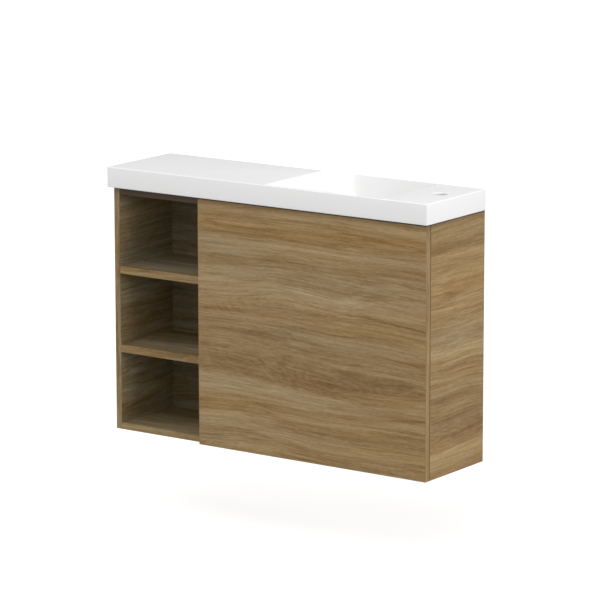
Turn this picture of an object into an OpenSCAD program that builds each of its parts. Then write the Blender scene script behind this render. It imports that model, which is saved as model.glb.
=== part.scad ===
/* [Basin] */
// Length of the basin along the wall
basin_w = 920; // [860:1:1100]
// Depth of the basin from the wall
basin_d = 250; // [240:1:270]
// Height of the basin's straight edge
basin_h = 50; // [44:1:70]
// Flat shelf on the left, from the basin's end to the crease where the bowl starts
shelf_len = 460; // [400:1:500]
// Tap deck on the right, from the bowl to the basin's end
deck_len = 123; // [90:1:150]
// Rim left in front of the bowl and behind it
rim_w = 7; // [6:0.5:12]
// Deepest point of the bowl under the rim
bowl_depth = 62; // [50:1:66]
// Fall of the bowl's ramp behind the crease, in degrees
ramp_angle = 17; // [14:0.5:20]
// Steepness of the ramp's sides, where a larger value is steeper
side_power = 6; // [4:0.5:8]
// Where the deep pan begins, from the crease
pan_start = 88; // [80:1:110]
// Length over which the pan's left end goes down to the floor
pan_end_run = 60; // [50:1:70]
// Steepness of that end
pan_end_power = 3; // [2.4:0.1:4]
// Steepness of the pan's front wall
front_power = 3; // [2.4:0.1:3.4]
// Steepness of the pan's back wall and, half as much, of its tap end
back_power = 15; // [9:0.5:18]
// Roundness where the pan leaves the ramp
pan_blend = 5; // [2:0.5:8]
// Corner radius of the bowl at the tap end, seen from above
corner_r = 15; // [12:1:60]
// Wall of the bowl's shell
shell_t = 12; // [8:0.5:14]
// Thickness of the flat parts of the basin
slab_t = 14; // [10:0.5:16]
// Hidden wall under the basin's ends and back
skirt_t = 14; // [12:0.5:16]
// Hidden wall under the basin's front, which reaches back onto the cabinet
front_skirt = 36; // [34:0.5:40]
// Tap hole diameter
tap_hole_d = 35; // [32:0.5:38]
// Tap hole centre, from the basin's right end
tap_from_end = 50; // [45:1:60]
// Tap hole centre, from the basin's front
tap_from_front = 134; // [110:1:150]
// Waste hole diameter
waste_d = 45; // [40:0.5:48]
// Diameter of the flat seat round the waste hole
waste_seat_d = 68; // [60:1:74]
// How far the waste seat is sunk under the bowl's deepest point
waste_sink = 3; // [2:0.5:4]
// Waste hole centre, from the crease
waste_from_crease = 215; // [190:1:235]

/* [Seal] */
// Thickness of the dark strip between the basin and the cabinet
seal_t = 2.5; // [1.5:0.1:4]
// Width of the strip
seal_w = 12; // [10:0.5:14]

/* [Cabinet] */
// Height of the cabinet without the basin
cab_h = 597.5; // [500:0.5:700]
// How far the basin's front stands past the cabinet without its door
front_lip = 22; // [18:0.5:23]
// Thickness of the sides, the divider and the top and bottom boards
board_t = 16; // [15:0.5:18]
// Thickness of the open shelves
shelf_t = 18.5; // [16:0.5:22]
// Thickness of the rails
rail_t = 16; // [15:0.5:17]
// How far the basin's left end stands past the cabinet
left_inset = 4; // [2:0.5:6]
// How far the basin's right end stands past the cabinet
right_inset = 3; // [1:0.5:6]
// Clear width of the open shelves
open_w = 249; // [200:1:300]
// Height of the rails that the wall screws go through
rail_h = 90; // [80:1:110]
// Height of the rail under the basin's front
front_rail_h = 60; // [50:1:70]
// Thickness of the thin back of the open shelves
back_t = 4; // [3:0.1:4.5]
// Depth of the grooves that hold the thin back
groove_d = 6; // [4:0.5:8]
// Room round the thin back in its grooves
groove_gap = 0.1; // [0:0.05:0.3]
// Thickness of the glued edge bands
band_t = 0.8; // [0.4:0.1:1.5]
// Seam between two edge bands that meet
seam = 0.1; // [0.05:0.05:0.2]

/* [Door] */
// Thickness of the door with no bands
door_t = 16; // [15:0.5:18]
// Air between the closed door and the cabinet
door_gap = 2; // [2:0.1:3]

/* [Wall fixing] */
// Diameter of the screw holes in the rails
fix_hole_d = 8; // [6:0.5:10]
// Distance from a rail's end to its screw hole
fix_from_end = 48; // [40:1:80]

/* [Hinges] */
// Distance from the door's end to the middle of a hinge
hinge_from_end = 100; // [80:1:140]
// Diameter of the cup
cup_d = 35; // [35:0.1:35.5]
// Depth of the cup in the door
cup_depth = 11.5; // [11:0.1:12]
// Wood left between the cup and the door's edge
cup_edge = 4; // [3.5:0.1:4.5]
// Wall of the cup
cup_wall = 0.7; // [0.6:0.05:0.9]
// Link pivot on the arm, inwards from the cabinet's outer face
arm_pivot_in = 33; // [32.8:0.1:33.2]
// Link pivot on the arm, forwards from the cabinet's front
arm_pivot_out = 2; // [1.8:0.1:2.2]
// Link pivot in the cup, inwards from the cabinet's outer face
cup_pivot_in = 11; // [10.8:0.1:11.2]
// Link pivot in the cup, forwards from the cabinet's front
cup_pivot_out = 3.5; // [3.4:0.1:3.6]
// Radius of the hinge pins
pin_r = 1.2; // [1:0.05:1.3]
// Room between a pin and the eye that turns on it
pin_gap = 0.12; // [0.08:0.01:0.2]
// Height of the link, along its pins
link_w = 10; // [8:0.5:11]
// How far the arm reaches back from the cabinet's front
arm_back = 62; // [58:0.5:66]
// Length of the arm's top
arm_top_len = 54; // [50:0.5:58]
// Clamping screw of the arm, back from the cabinet's front
arm_screw_back = 52; // [48:0.5:55]
// Screws of the plate, back from the cabinet's front
plate_back = 37; // [32:0.5:40]
// Distance between the plate's two screws
plate_spacing = 32; // [32:0.5:36]
// Height of the plate's foot
foot_h = 46; // [44:0.5:52]
// Width of the plate's foot
foot_w = 18; // [16:0.5:20]
// Thickness of the plate's foot
foot_t = 2; // [1.5:0.1:2.5]
// Length of the block that carries the arm
block_len = 40; // [34:0.5:44]
// How far the cup's screws stand above and below its middle
ear_z = 24; // [23:0.5:26]
// How far the cup's screws stand inwards from its middle
ear_in = 9.5; // [8:0.5:10]
// Width of an ear of the cup
ear_w = 18; // [16:0.5:20]
// Thickness of the cup's ears
ear_t = 1; // [0.8:0.1:1.2]
// Length of the screws in the boards
screw_len = 13; // [10:0.5:14]
// Diameter of those screws' heads
head_d = 7.4; // [6.8:0.1:7.6]

/* [Push latch] */
// Diameter of the plunger
plunger_d = 8; // [7:0.1:9]
// How far the plunger's tip stays from the strike plate when the door is shut
tip_gap = 0.3; // [0.2:0.05:0.5]
// Length of the latch body
latch_len = 72; // [60:1:90]
// Width of the latch body, out from the divider
latch_w = 14; // [12:0.5:16]
// Height of the latch body
latch_h = 16; // [14:0.5:20]
// Height of the foot that the latch is screwed down by
latch_foot_h = 64; // [60:0.5:70]
// Thickness of that foot
latch_foot_t = 2.5; // [2:0.1:3]
// Distance between the latch's two screws
latch_spacing = 48; // [44:0.5:52]
// Length of the plunger
plunger_len = 44; // [40:0.5:50]
// Width of the strike plate
strike_w = 14; // [12:0.5:16]
// Height of the strike plate
strike_h = 30; // [28:0.5:36]
// Thickness of the strike plate
strike_t = 0.8; // [0.6:0.1:1]
// Distance between the strike plate's screws
strike_spacing = 20; // [18:0.5:22]

/* [Fittings] */
// Diameter of the wooden dowels
dowel_d = 8; // [6:0.5:10]
// Length of the wooden dowels
dowel_len = 30; // [26:1:32]
// Diameter of the round cam housings
cam_d = 15; // [14.5:0.1:15.5]
// Depth of the cam housings
cam_depth = 12.5; // [12:0.1:13]
// Distance from a board's end to the middle of its cam
cam_reach = 34; // [30:1:38]
// Diameter of the cam bolts
cam_bolt_d = 6; // [5:0.1:6.5]
// Room round dowels, bolts, housings and screws in their holes
fit_gap = 0.15; // [0.1:0.05:0.3]

/* [Hidden] */
$fn = 64;

wood = [0.58, 0.48, 0.33];
band_wood = [0.63, 0.53, 0.38];
cast = [0.95, 0.95, 0.94];
steel = [0.74, 0.75, 0.77];

// Heights, measured from the middle of the hanging rail
cab_top = rail_h / 2;
cab_bot = cab_top - cab_h;
basin_bot = cab_top + seal_t;
basin_top = basin_bot + basin_h;
floor_z = cab_bot + board_t;
ceil_z = cab_top - board_t;
open_h = (ceil_z - floor_z - 2 * shelf_t) / 3;
shelf2_z = floor_z + open_h;
shelf1_z = shelf2_z + shelf_t + open_h;

// Places along the wall
left_out = -basin_w / 2 + left_inset;
left_in = left_out + board_t;
div_left = left_in + open_w;
div_right = div_left + board_t;
right_out = basin_w / 2 - right_inset;
right_in = right_out - board_t;

// Depths
cab_d = basin_d - front_lip;
front_y = -cab_d;
core_y = front_y + band_t;
back_face_y = -rail_t - back_t;
front_mid = front_y + rail_t / 2;
door_back = front_y - door_gap;
door_front = door_back - door_t;

// Bowl
crease_x = -basin_w / 2 + shelf_len;
bowl_len = basin_w - shelf_len - deck_len;
bowl_y = -basin_d / 2;
half_w = basin_d / 2 - rim_w;
shell_out = rim_w - 1;
waste_x = crease_x + waste_from_crease;
waste_z = basin_top - bowl_depth - waste_sink;

module at(x, y, z) translate([x, y, z]) children();
module span(x, y, z) translate([x[0], y[0], z[0]])
  cube([x[1] - x[0], y[1] - y[0], z[1] - z[0]]);

// Depth of the ramp's middle line, x being the distance from the crease
function ramp(x) = tan(ramp_angle) * min(x, pan_start + 10);
// How far the pan's left end has gone down at x
function pan_end(x) = 1 - pow(1 - min(max((x - pan_start) / pan_end_run, 0), 1), pan_end_power);
// How the depth grows with the distance t in from the rim
function wall(t, n) = 1 - pow(1 - min(max(t / half_w, 0), 1), n);
// Half width of the bowl's outline at x, with its rounded corners, grown by g all round
function half_at(x, g) = let(c = bowl_len - corner_r, r = corner_r + g)
  x <= c ? half_w + g : half_w - corner_r + sqrt(max(r * r - (x - c) * (x - c), 0));
// Distance in from the outline grown by g, at x and y
function inset(x, y, g) = let(cx = x - (bowl_len - corner_r), cy = abs(y) - (half_w - corner_r))
  (cx > 0 && cy > 0) ? corner_r + g - norm([cx, cy])
  : min(half_w + g - abs(y), bowl_len + g - x);
// The front wall slopes more than the back wall, and the two blend over the bowl's middle
function power_at(y) = let(s = min(max((y + half_w) / (2 * half_w), 0), 1))
  front_power + (back_power - front_power) * s * s * (3 - 2 * s);
// The larger of two depths, with a rounded change from one to the other
function deeper(a, b) = let(k = min(pan_blend, max(a, b)) + 0.01)
  max(a, b) + pow(max(k - abs(a - b), 0), 2) / (4 * k);
// Depth of the ramp and the pan together, grown by g all round
function bowl_at(x, y, g) = let(t = inset(x, y, g))
  deeper(ramp(x) * wall(t, side_power), bowl_depth * pan_end(x + g) * wall(t, power_at(y)));
function shell_at(x, y) = bowl_at(x, y, shell_out)
  + shell_t * wall(inset(x, y, shell_out), power_at(y));

// A solid whose underside follows a depth rule over the bowl's outline, with a flat top at up
module dish(n, ny, g, up, outer) {
  mid = pan_start + pan_end_run - g;
  last = bowl_len + g - corner_r * 3;
  xs = concat([for (i = [0:n - 1]) (pan_start - g) * i / n],
    [for (i = [0:2 * n - 1]) pan_start - g + pan_end_run * i / (2 * n)],
    [for (i = [0:n - 1]) mid + (last - mid) * i / n],
    [for (i = [0:2 * n]) last + corner_r * 3 * sin(45 * i / n)]);
  nx = 6 * n;
  low = [for (i = [0:nx], j = [0:ny]) let(x = xs[i], y = -half_at(x, g) * cos(180 * j / ny))
    [x, y, outer ? -shell_at(x, y) - 0.01 : -bowl_at(x, y, 0)]];
  top = [for (p = low) [p[0], p[1], up]];
  k = (nx + 1) * (ny + 1);
  function id(i, j) = i * (ny + 1) + j;
  quads = [for (i = [0:nx - 1], j = [0:ny - 1]) each [
    [id(i, j), id(i + 1, j), id(i + 1, j + 1)], [id(i, j), id(i + 1, j + 1), id(i, j + 1)],
    [k + id(i, j), k + id(i + 1, j + 1), k + id(i + 1, j)],
    [k + id(i, j), k + id(i, j + 1), k + id(i + 1, j + 1)]]];
  sides = [for (i = [0:nx - 1]) each [
    [id(i, 0), k + id(i, 0), k + id(i + 1, 0)], [id(i, 0), k + id(i + 1, 0), id(i + 1, 0)],
    [id(i, ny), k + id(i + 1, ny), k + id(i, ny)], [id(i, ny), id(i + 1, ny), k + id(i + 1, ny)]]];
  ends = [for (j = [0:ny - 1]) each [
    [id(0, j), k + id(0, j + 1), k + id(0, j)], [id(0, j), id(0, j + 1), k + id(0, j + 1)],
    [id(nx, j), k + id(nx, j), k + id(nx, j + 1)], [id(nx, j), k + id(nx, j + 1), id(nx, j + 1)]]];
  at(crease_x, bowl_y, basin_top)
    polyhedron(concat(low, top), concat(quads, sides, ends), convexity = 6);
}

// The part of the bowl that hangs down into the cabinet starts behind the front rail
behind_front = front_y + rail_t + 1;
bulge_low = waste_z - shell_t - 6;
// The hollow under the basin: everything below the slab that is not bowl or skirt
module under_room() difference() {
  union() {
    span([-basin_w / 2 + skirt_t, basin_w / 2 - skirt_t], [-basin_d + front_skirt, -skirt_t],
      [basin_bot - 1, basin_top - slab_t]);
    span([crease_x - 1, basin_w / 2 - skirt_t], [behind_front - 1, -skirt_t + 2],
      [bulge_low - 1, basin_bot]);
  }
  dish(4, 16, shell_out, -1, true);
  at(waste_x, bowl_y, waste_z - shell_t) cylinder(h = shell_t, d = waste_seat_d + 2);
}

module basin() color(cast) difference() {
  union() {
    span([-basin_w / 2, basin_w / 2], [-basin_d, 0], [basin_bot, basin_top]);
    span([crease_x, basin_w / 2 - skirt_t - 1], [behind_front, -skirt_t + 1],
      [bulge_low, basin_bot + 1]);
  }
  under_room();
  dish(6, 26, 0, 3, false);
  at(waste_x, bowl_y, waste_z) cylinder(h = waste_sink + 3, d = waste_seat_d);
  at(waste_x, bowl_y, waste_z - shell_t - 5) cylinder(h = shell_t + 10, d = waste_d);
  at(basin_w / 2 - tap_from_end, -basin_d + tap_from_front, basin_top - slab_t - 1)
    cylinder(h = slab_t + 2, d = tap_hole_d);
}

module basin_seal() color([0.12, 0.11, 0.1]) difference() {
  span([left_out, right_out], [front_y, 0], [cab_top, basin_bot]);
  span([left_out + seal_w, right_out - seal_w], [front_y + seal_w, -seal_w],
    [cab_top - 1, basin_bot + 1]);
}

// Dowels: [x, y, z] on the joint's face and the direction along the dowel
dowel_in = -cab_d * 0.72;
dowel_out = -cab_d * 0.28;
board_rows = [ceil_z + board_t / 2, shelf1_z + shelf_t / 2, shelf2_z + shelf_t / 2];
function side_dowels(x, dir) =
  [for (z = board_rows, y = [dowel_in, dowel_out]) [[x, y, z], [dir, 0, 0]]];
function rail_dowels(x, dir) = [for (z = [0, floor_z + rail_h / 2], s = [-1, 1])
  [[x, -rail_t / 2, z + s * (rail_h / 2 - 12)], [dir, 0, 0]]];
dowels_left = concat(side_dowels(left_in, 1), rail_dowels(left_in, 1),
  [[[left_in, -cab_d / 2, floor_z - board_t / 2], [1, 0, 0]]]);
dowels_div = concat(side_dowels(div_left, -1),
  [[[div_right, front_mid, cab_top - 12], [1, 0, 0]]]);
dowels_foot = [for (y = [-cab_d * 0.85, -cab_d * 0.5, -cab_d * 0.2])
  [[(div_left + div_right) / 2, y, floor_z], [0, 0, 1]]];
dowels_right = concat(rail_dowels(right_in, -1),
  [[[right_in, front_mid, cab_top - 12], [-1, 0, 0]],
   [[right_in, -cab_d / 2, floor_z - board_t / 2], [-1, 0, 0]]]);
all_dowels = concat(dowels_left, dowels_div, dowels_foot, dowels_right);
stub = board_t * 0.68;

module along(dir) rotate(dir[0] != 0 ? [0, dir[0] > 0 ? 90 : -90, 0] : dir[1] != 0
  ? [dir[1] > 0 ? -90 : 90, 0, 0] : [dir[2] > 0 ? 0 : 180, 0, 0]) children();

// The short end of a dowel sits in the upright, and the long end in the board that meets it.
// Dowels from both sides of the divider stay clear of each other inside it.
short_end = board_t * 0.4;
module dowel_rods(list, g) for (d = list) translate(d[0])
  if (d[1][2] != 0) at(0, 0, -stub - g) cylinder(h = dowel_len + 2 * g, d = dowel_d + 2 * g);
  else along(d[1]) at(0, 0, -short_end - g) cylinder(h = dowel_len + 2 * g, d = dowel_d + 2 * g);

// Cams: [x, y, z] on the upright's face, direction into the board, open face, board thickness
mid_top = ceil_z + board_t / 2;
mid_bot = cab_bot + board_t / 2;
cams = concat(
  [for (y = [-cab_d * 0.86, -cab_d * 0.16]) each [
    [[left_in, y, mid_top], 1, [0, 0, 1], board_t], [[div_left, y, mid_top], -1, [0, 0, 1], board_t],
    [[left_in, y, mid_bot], 1, [0, 0, -1], board_t], [[right_in, y, mid_bot], -1, [0, 0, -1], board_t]]],
  [for (q = [[div_right, 1], [right_in, -1]])
    [[q[0], front_mid, cab_top - front_rail_h + 18], q[1], [0, 1, 0], rail_t]],
  [for (q = [[left_in, 1], [right_in, -1]], z = [0, floor_z + rail_h / 2])
    [[q[0], -rail_t / 2, z], q[1], [0, -1, 0], rail_t]]);

module cam_bores() for (c = cams) {
  translate(c[0]) along([c[1], 0, 0]) at(0, 0, -0.01) cylinder(h = cam_reach, d = cam_bolt_d + 1);
  translate(c[0] + [c[1] * cam_reach, 0, 0] + c[2] * (c[3] / 2 - cam_depth))
    along(c[2]) cylinder(h = cam_depth + 1, d = cam_d);
}
module bolt_bores() for (c = cams) translate(c[0]) along([-c[1], 0, 0])
  at(0, 0, -0.01) cylinder(h = stub + 0.01, d = cam_bolt_d - 1);

module cam_housings() color("silver") for (c = cams)
  translate(c[0] + [c[1] * cam_reach, 0, 0]) difference() {
    translate(c[2] * (c[3] / 2 - cam_depth + fit_gap)) along(c[2])
      cylinder(h = cam_depth - fit_gap, d = cam_d - 2 * fit_gap);
    along([-c[1], 0, 0]) at(0, 0, -3.2) cylinder(h = cam_d, d = cam_bolt_d + 1);
    translate(c[2] * (c[3] / 2 - 2)) for (a = [0, 90])
      if (c[2][2] != 0) rotate([0, 0, a]) cube([8, 1.6, 4.001], center = true);
      else rotate([0, a, 0]) cube([8, 4.001, 1.6], center = true);
  }

module cam_bolts() color(steel) for (c = cams) translate(c[0]) {
  along([-c[1], 0, 0]) cylinder(h = stub - fit_gap, d = cam_bolt_d - 1 - 2 * fit_gap);
  along([c[1], 0, 0]) cylinder(h = cam_reach - 2, d = cam_bolt_d - 1);
  along([c[1], 0, 0]) at(0, 0, cam_reach - 2.01) cylinder(h = 3, d = cam_bolt_d);
}

module dowels() color("burlywood") dowel_rods(all_dowels, -fit_gap);

// Hinge frame: x runs inwards from the cabinet's outer face and y forwards from its front
hinge_rows = [cab_top - hinge_from_end, cab_bot + hinge_from_end];
module at_hinges() for (z = hinge_rows) at(right_out, front_y, z) rotate([0, 0, 180]) children();
cup_u = cup_edge + cup_d / 2;
ear_u = cup_u + ear_in;
screw_r = 1.9;
plate_screw_z = plate_spacing / 2;
link_half = link_w / 2;
cheek_in = link_half + 0.4;
cheek_out = cheek_in + 2;
nose_r = 2.8;
eye_r = 2.6;

module side_left() color(wood) difference() {
  span([left_out, left_in], [core_y, 0], [cab_bot, cab_top]);
  span([left_in - groove_d, left_in + 1], [back_face_y - groove_gap, -rail_t + groove_gap],
    [floor_z - groove_d, cab_top + 1]);
  dowel_rods(dowels_left, 0);
  bolt_bores();
}

module side_right() color(wood) difference() {
  span([right_in, right_out], [core_y, 0], [cab_bot, cab_top]);
  dowel_rods(dowels_right, 0);
  bolt_bores();
  at_hinges() for (s = [-1, 1]) at(board_t + 1, -plate_back, s * plate_screw_z)
    along([-1, 0, 0]) cylinder(h = screw_len - foot_t + 2, r = screw_r);
}

// Its back edge is rebated for the thin back, and it stands in front of the rails
module divider() color(wood) difference() {
  span([div_left, div_right], [core_y, -rail_t], [floor_z, cab_top]);
  span([div_left - 1, div_left + groove_d], [back_face_y - groove_gap, -rail_t + 1],
    [floor_z - 1, cab_top + 1]);
  dowel_rods(concat(dowels_div, dowels_foot), 0);
  bolt_bores();
  for (s = [-1, 1]) at(div_right + 1, latch_mid, latch_z + s * latch_spacing / 2)
    along([-1, 0, 0]) cylinder(h = screw_len - latch_foot_t + 1.5, r = screw_r);
}

module top_board() color(wood) difference() {
  span([left_in, div_left], [core_y, back_face_y], [ceil_z, cab_top]);
  dowel_rods(concat(dowels_left, dowels_div), 0);
  cam_bores();
}

module bottom_board() color(wood) difference() {
  span([left_in, right_in], [core_y, 0], [cab_bot, floor_z]);
  span([left_in - 1, div_left + groove_d], [back_face_y - groove_gap, -rail_t + groove_gap],
    [floor_z - groove_d, floor_z + 1]);
  dowel_rods(concat(dowels_left, dowels_right, dowels_foot), 0);
  cam_bores();
}

module open_shelf(z) color(wood) difference() {
  span([left_in, div_left], [core_y, back_face_y], [z, z + shelf_t]);
  dowel_rods(concat(dowels_left, dowels_div), 0);
}
module shelf_upper() open_shelf(shelf1_z);
module shelf_lower() open_shelf(shelf2_z);

module back_panel() color(wood)
  span([left_in - groove_d + groove_gap, div_left + groove_d - groove_gap],
    [back_face_y, -rail_t], [floor_z - groove_d + groove_gap, cab_top]);

fix_left = div_right + fix_from_end;
fix_right = right_in - fix_from_end;
module fix_holes() for (x = [fix_left, fix_right], z = [0, floor_z + rail_h / 2])
  at(x, 1, z) rotate([90, 0, 0]) cylinder(h = rail_t + 2, d = fix_hole_d);

// A shallow recess along its top edge makes room for the bowl
recess_end = 10;
module hanging_rail() color(wood) difference() {
  span([left_in, right_in], [-rail_t, 0], [-rail_h / 2, rail_h / 2]);
  span([crease_x + pan_start - recess_end, crease_x + bowl_len + recess_end],
    [-rail_t - 1, -seal_w], [basin_top - bowl_depth - shell_t, cab_top + 1]);
  fix_holes();
  dowel_rods(concat(dowels_left, dowels_right), 0);
  cam_bores();
}

module lower_rail() color(wood) difference() {
  span([left_in, right_in], [-rail_t, 0], [floor_z, floor_z + rail_h]);
  fix_holes();
  dowel_rods(concat(dowels_left, dowels_right), 0);
  cam_bores();
}

module front_rail() color(wood) difference() {
  span([div_right, right_in], [core_y, front_y + rail_t], [cab_top - front_rail_h, cab_top]);
  dowel_rods(concat(dowels_div, dowels_right), 0);
  cam_bores();
}

module carcass_edging() color(band_wood) {
  span([left_out, left_in], [front_y, core_y], [cab_bot, cab_top]);
  span([right_in, right_out], [front_y, core_y], [cab_bot, cab_top]);
  span([div_left, div_right], [front_y, core_y], [floor_z + seam, cab_top]);
  span([left_in + seam, div_left - seam], [front_y, core_y], [ceil_z, cab_top]);
  for (z = [shelf1_z, shelf2_z])
    span([left_in + seam, div_left - seam], [front_y, core_y], [z, z + shelf_t]);
  span([left_in + seam, right_in - seam], [front_y, core_y], [cab_bot, floor_z]);
  span([div_right + seam, right_in - seam], [front_y, core_y],
    [cab_top - front_rail_h, cab_top]);
}

module door() color(wood) difference() {
  span([div_left + band_t, right_out - band_t], [door_front, door_back],
    [cab_bot + band_t, cab_top - band_t]);
  at_hinges() {
    at(cup_u, door_gap - 1, 0) along([0, 1, 0]) cylinder(h = cup_depth + 1, d = cup_d);
    for (s = [-1, 1]) at(ear_u, door_gap - 1, s * ear_z)
      along([0, 1, 0]) cylinder(h = cup_screw_len + 1.5, r = screw_r);
  }
  for (s = [-1, 1]) at(strike_x, door_back + 1, latch_z + s * strike_spacing / 2)
    along([0, -1, 0]) cylinder(h = strike_screw_len + 1, r = screw_r - 0.4);
}

module door_edging() color(band_wood) {
  for (x = [div_left, right_out - band_t])
    span([x, x + band_t], [door_front, door_back], [cab_bot, cab_top]);
  for (z = [cab_bot, cab_top - band_t])
    span([div_left + band_t + seam, right_out - band_t - seam], [door_front, door_back],
      [z, z + band_t]);
}

// Steel cup with two screw ears that lie on the back of the door
module hinge_cups() color(steel) at_hinges() difference() {
  union() {
    at(cup_u, door_gap, 0) along([0, 1, 0])
      cylinder(h = cup_depth - fit_gap, d = cup_d - 2 * fit_gap);
    for (s = [-1, 1]) at(cup_u, door_gap - ear_t, s * (ear_z - 2) - ear_w / 2)
      cube([2 * ear_in, ear_t, ear_w]);
  }
  at(cup_u, door_gap - 2, 0) along([0, 1, 0])
    cylinder(h = cup_depth - fit_gap - cup_wall + 2, d = cup_d - 2 * fit_gap - 2 * cup_wall);
  for (s = [-1, 1]) at(ear_u, door_gap - 2, s * ear_z)
    along([0, 1, 0]) cylinder(h = 4, r = screw_r + 0.2);
  at(cup_pivot_in, cup_pivot_out, 0) cylinder(h = 40, r = pin_r, center = true);
}

module hinge_cup_pins() color("gray") at_hinges()
  at(cup_pivot_in, cup_pivot_out, 0) cylinder(h = 2 * cup_pin_half, r = pin_r, center = true);
cup_pin_half = sqrt(pow(cup_d / 2 - fit_gap, 2) - pow(cup_u - cup_pivot_in + pin_r, 2)) - 0.1;

module cup_screws() color(steel) at_hinges()
  for (s = [-1, 1]) at(ear_u, door_gap - ear_t, s * ear_z) {
    along([0, 1, 0]) cylinder(h = cup_screw_len, r = screw_r - fit_gap);
    along([0, -1, 0]) cylinder(h = 1.6, d = head_d - 0.6);
  }

link_dx = arm_pivot_in - cup_pivot_in;
link_dy = arm_pivot_out - cup_pivot_out;
link_t = 2.4;
bar_in = (pin_r + pin_gap + eye_r) / 2;
module hinge_links() color(steel) at_hinges() difference() {
  union() {
    at(cup_pivot_in, cup_pivot_out, 0) cylinder(h = 2 * link_half, r = eye_r, center = true);
    at(arm_pivot_in, arm_pivot_out, 0) cylinder(h = 2 * link_half, r = eye_r, center = true);
    at(cup_pivot_in, cup_pivot_out, 0) rotate([0, 0, atan2(link_dy, link_dx)])
      at(bar_in, -link_t / 2, -link_half)
        cube([norm([link_dx, link_dy]) - 2 * bar_in, link_t, 2 * link_half]);
  }
  at(cup_pivot_in, cup_pivot_out, 0)
    cylinder(h = 30, r = pin_r + pin_gap, center = true);
  at(arm_pivot_in, arm_pivot_out, 0)
    cylinder(h = 30, r = pin_r + pin_gap, center = true);
}

// Steel channel that carries the link on two cheeks and is screwed down on the plate
module hinge_arms() color(steel) at_hinges() difference() {
  union() {
    for (s = [-1, 1]) {
      at(arm_pivot_in, arm_pivot_out, s * (cheek_in + cheek_out) / 2)
        cylinder(h = cheek_out - cheek_in, r = nose_r, center = true);
      at(arm_pivot_in - nose_r, -arm_back, s > 0 ? cheek_in : -cheek_out)
        cube([2 * nose_r, arm_back + arm_pivot_out, cheek_out - cheek_in]);
    }
    at(plate_top, -arm_back, -cheek_out)
      cube([arm_pivot_in + nose_r - plate_top, arm_top_len, 2 * cheek_out]);
  }
  at(arm_pivot_in, arm_pivot_out, 0) cylinder(h = 30, r = pin_r, center = true);
  at(plate_top - 1, -arm_screw_back, 0) along([1, 0, 0]) cylinder(h = 8, r = screw_r + 0.3);
}
plate_top = arm_pivot_in + 1.4;
clamp_len = 9;
cup_screw_len = 10;
strike_screw_len = 8;

module hinge_arm_pins() color("gray") at_hinges()
  at(arm_pivot_in, arm_pivot_out, 0) cylinder(h = 2 * cheek_out, r = pin_r, center = true);

module hinge_plates() color(steel) at_hinges() difference() {
  union() {
    at(board_t, -plate_back - foot_w / 2, -foot_h / 2) cube([foot_t, foot_w, foot_h]);
    at(board_t, -arm_back + 2, -cheek_in + 0.4)
      cube([plate_top - board_t, block_len, 2 * cheek_in - 0.8]);
  }
  for (s = [-1, 1]) at(board_t - 1, -plate_back, s * plate_screw_z)
    along([1, 0, 0]) cylinder(h = foot_t + 2, r = screw_r + 0.2);
  at(plate_top + 1, -arm_screw_back, 0) along([-1, 0, 0]) cylinder(h = clamp_len, r = screw_r);
}

module hinge_screws() color(steel) at_hinges() {
  for (s = [-1, 1]) at(board_t + foot_t, -plate_back, s * plate_screw_z) {
    along([-1, 0, 0]) cylinder(h = screw_len, r = screw_r - fit_gap);
    along([1, 0, 0]) cylinder(h = 2.2, d = head_d);
  }
  at(arm_pivot_in + nose_r, -arm_screw_back, 0) {
    along([-1, 0, 0]) cylinder(h = clamp_len - 1, r = screw_r - fit_gap);
    along([1, 0, 0]) cylinder(h = 2, d = head_d - 0.2);
  }
}

// Latch on the divider, at half the door's height
latch_z = (cab_top + cab_bot) / 2;
latch_front = front_y + 1;
latch_mid = latch_front + latch_len - 20;
strike_x = div_right + latch_w / 2;
plunger_tip = door_back + strike_t + tip_gap;
plunger_hole = plunger_d + 2 * 0.3;

module push_latch_body() color([0.8, 0.8, 0.78]) difference() {
  union() {
    span([div_right, div_right + latch_w], [latch_front, latch_front + latch_len],
      [latch_z - latch_h / 2, latch_z + latch_h / 2]);
    span([div_right, div_right + latch_foot_t], [latch_mid - 8, latch_mid + 8],
      [latch_z - latch_foot_h / 2, latch_z + latch_foot_h / 2]);
  }
  at(strike_x, latch_front - 1, latch_z) along([0, 1, 0])
    cylinder(h = latch_len - 5, d = plunger_hole);
  for (s = [-1, 1]) at(div_right - 1, latch_mid, latch_z + s * latch_spacing / 2)
    along([1, 0, 0]) cylinder(h = latch_foot_t + 2, r = screw_r + 0.2);
}

module push_latch_plunger() color([0.3, 0.3, 0.3]) {
  at(strike_x, plunger_tip + 2, latch_z) along([0, 1, 0]) cylinder(h = plunger_len, d = plunger_d);
  at(strike_x, plunger_tip, latch_z) along([0, 1, 0]) cylinder(h = 2.01, d1 = plunger_d - 2, d2 = plunger_d);
}

module strike_plate() color(steel) difference() {
  span([strike_x - strike_w / 2, strike_x + strike_w / 2], [door_back, door_back + strike_t],
    [latch_z - strike_h / 2, latch_z + strike_h / 2]);
  for (s = [-1, 1]) at(strike_x, door_back - 1, latch_z + s * strike_spacing / 2)
    along([0, 1, 0]) cylinder(h = strike_t + 2, r = screw_r - 0.2);
}

module strike_screws() color(steel) for (s = [-1, 1])
  at(strike_x, door_back + strike_t, latch_z + s * strike_spacing / 2) {
    along([0, -1, 0]) cylinder(h = strike_screw_len, r = screw_r - 0.4 - fit_gap);
    along([0, 1, 0]) cylinder(h = 0.9, d = head_d - 1.6);
  }

module latch_screws() color(steel) for (s = [-1, 1])
  at(div_right + latch_foot_t, latch_mid, latch_z + s * latch_spacing / 2) {
    along([-1, 0, 0]) cylinder(h = screw_len, r = screw_r - fit_gap);
    along([1, 0, 0]) cylinder(h = 2.2, d = head_d - 0.2);
  }

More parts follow.
